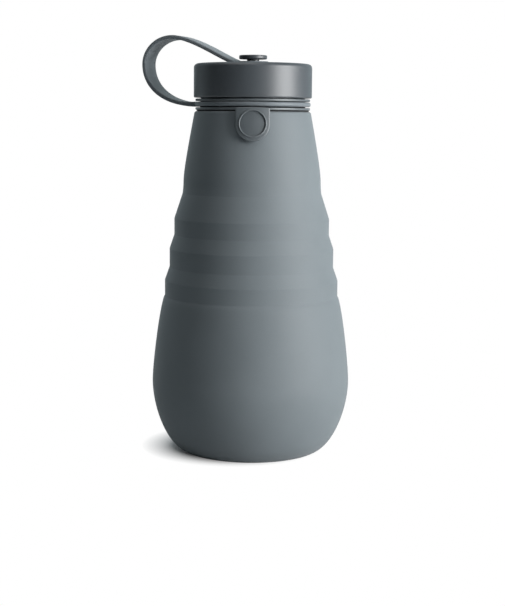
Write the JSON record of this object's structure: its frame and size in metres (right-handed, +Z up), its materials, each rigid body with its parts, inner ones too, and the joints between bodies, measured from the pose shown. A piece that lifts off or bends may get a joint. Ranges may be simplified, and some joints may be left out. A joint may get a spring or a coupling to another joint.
{
  "type": "collapsible water bottle",
  "caption": "Tapered silicone bottle with stepped bands that folds down into its own base, with a threaded neck, a screw lid and a carry loop from the lid's knob to the neck.",
  "frame": {"origin": "centre of the foot's flat underside, on the bottle's axis", "axes": "+Z up along the bottle's axis, -Y the front with the tab, the carry loop leaves the neck towards -X and a little back"},
  "size_m": [0.101, 0.095, 0.1987],
  "materials": {
    "silicone": "matte slate-grey silicone with a fine, slightly dusty skin",
    "strap_silicone": "matte slate-grey silicone, a little smoother than the body",
    "satin_plastic": "satin slate-grey polypropylene with a very fine moulded grain",
    "seal_silicone": "smooth pale grey silicone"
  },
  "bodies": {
    "base": {"base_bowl": "silicone"},
    "fold_1": {"fold_web_1": "silicone", "fold_ring_1": "silicone"},
    "fold_2": {"fold_web_2": "silicone", "fold_ring_2": "silicone"},
    "fold_3": {"fold_web_3": "silicone", "fold_ring_3": "silicone"},
    "neck": {"fold_web_4": "silicone", "shoulder": "silicone", "retaining_ring": "satin_plastic", "neck_sleeve": "satin_plastic", "neck_collar": "satin_plastic"},
    "lid_seal": {"lid_seal": "seal_silicone"},
    "lid": {"lid_shell": "satin_plastic", "lid_liner": "satin_plastic", "lid_knob": "satin_plastic"},
    "strap": {"carry_strap": "strap_silicone"},
    "strap_eye": {"strap_eye": "strap_silicone"}
  },
  "joints": [
    {"name": "collapse", "type": "slide", "parent": "base", "child": "neck", "axis": [0, 0, -1], "range_m": [0, 0.095], "deforming": ["fold_web_4"]},
    {"name": "fold_1_drop", "type": "slide", "parent": "base", "child": "fold_1", "axis": [0, 0, -1], "range_m": [0, 0.0132], "deforming": ["fold_web_1"]},
    {"name": "fold_2_drop", "type": "slide", "parent": "base", "child": "fold_2", "axis": [0, 0, -1], "range_m": [0, 0.044], "deforming": ["fold_web_2"]},
    {"name": "fold_3_drop", "type": "slide", "parent": "base", "child": "fold_3", "axis": [0, 0, -1], "range_m": [0, 0.0775], "deforming": ["fold_web_3"]},
    {"name": "lid_lift", "type": "slide", "parent": "neck", "child": "lid_seal", "axis": [0, 0, 1], "range_m": [0, 0.01201]},
    {"name": "lid_turn", "type": "hinge", "parent": "lid_seal", "child": "lid", "pos_m": [0, 0, 0.1696], "axis": [0, 0, 1], "range_deg": [0, 540]},
    {"name": "strap_swivel", "type": "hinge", "parent": "neck", "child": "strap", "pos_m": [0, 0, 0.1664], "axis": [0, 0, 1], "continuous": true},
    {"name": "strap_eye_lift", "type": "slide", "parent": "strap", "child": "strap_eye", "axis": [0, 0, 1], "range_m": [0, 0.01201]}
  ],
  "couplings": [
    {"joint": "fold_1_drop", "follows": "collapse", "ratio": 0.138},
    {"joint": "fold_2_drop", "follows": "collapse", "ratio": 0.461},
    {"joint": "fold_3_drop", "follows": "collapse", "ratio": 0.812},
    {"joint": "lid_lift", "follows": "lid_turn", "m_per_rad": 0.0012732},
    {"joint": "strap_eye_lift", "follows": "lid_turn", "m_per_rad": 0.0012732}
  ]
}
